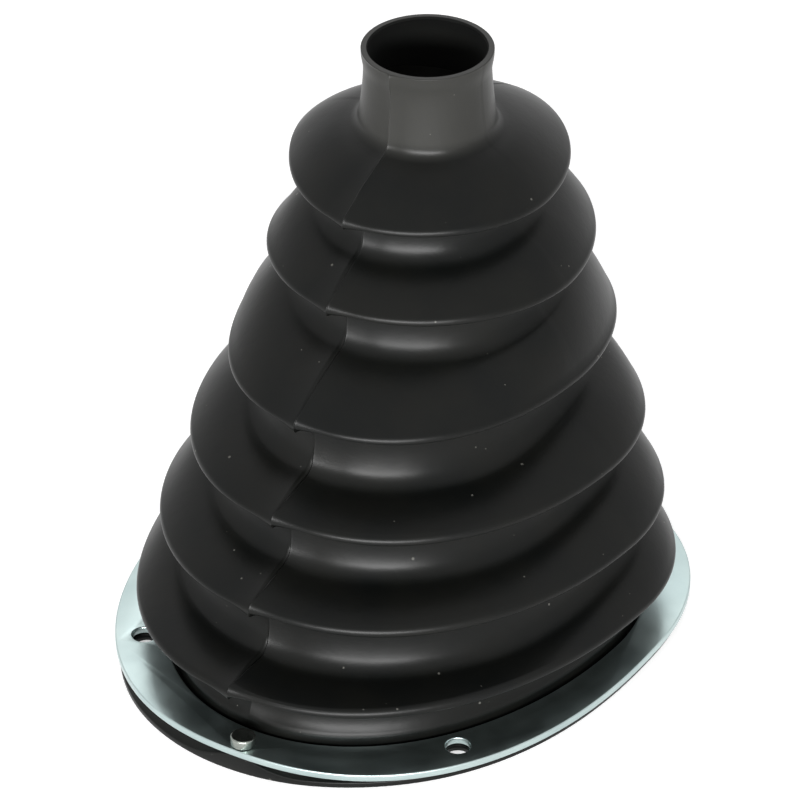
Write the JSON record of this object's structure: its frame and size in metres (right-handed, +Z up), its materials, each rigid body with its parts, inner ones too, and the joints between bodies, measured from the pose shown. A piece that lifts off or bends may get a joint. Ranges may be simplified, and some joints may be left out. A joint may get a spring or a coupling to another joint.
{
  "type": "steering lever boot",
  "caption": "Black rubber bellows boot for a steering lever, with a round neck and a flat oval flange clamped by a zinc-plated steel ring plate.",
  "frame": {"origin": "under the middle of the oval ring plate, on the underside of the rubber flange", "axes": "+Z up along the neck, -Y towards the long nose of the oval, +X across the ring plate; the bellows stand 2 mm to +X and are turned 3.5 degrees about the neck axis"},
  "size_m": [0.1434, 0.16, 0.167],
  "materials": {
    "black_rubber": "satin moulded",
    "zinc_plated_steel": "bright zinc plate",
    "rivet_steel": "dull zinc plate"
  },
  "bodies": {
    "root": {"rubber_boot": "black_rubber", "retaining_ring": "zinc_plated_steel", "rivet_nose": "rivet_steel", "rivet_tail": "rivet_steel"}
  },
  "joints": []
}
